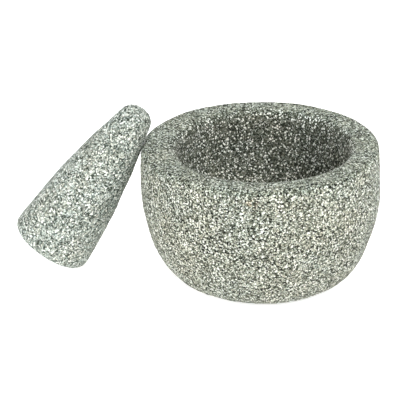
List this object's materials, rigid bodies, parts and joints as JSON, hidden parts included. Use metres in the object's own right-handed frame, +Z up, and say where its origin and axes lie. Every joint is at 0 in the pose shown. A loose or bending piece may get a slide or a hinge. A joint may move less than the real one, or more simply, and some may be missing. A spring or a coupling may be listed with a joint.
{
  "type": "molcajete",
  "caption": "Round legless granite mortar with a wide flat rim and a deep hollow, and a loose tapered pestle leaning on its rim.",
  "frame": {"origin": "centre of the bowl's flat base, on the surface that it stands on", "axes": "+Z up along the bowl's axis; the pestle stands on the -X side and leans towards +X; -Y is the front"},
  "size_m": [0.2765, 0.18, 0.1264],
  "materials": {
    "granite_bowl": "pecked speckled granite, matt, with a smoother rim",
    "granite_pestle": "pecked speckled granite, matt"
  },
  "bodies": {
    "bowl": {"mortar_bowl": "granite_bowl"},
    "pestle": {"pestle": "granite_pestle"}
  },
  "joints": [
    {"name": "pestle_lift", "type": "slide", "parent": "bowl", "child": "pestle", "axis": [0, 0, 1], "range_m": [0, 0.15]}
  ]
}
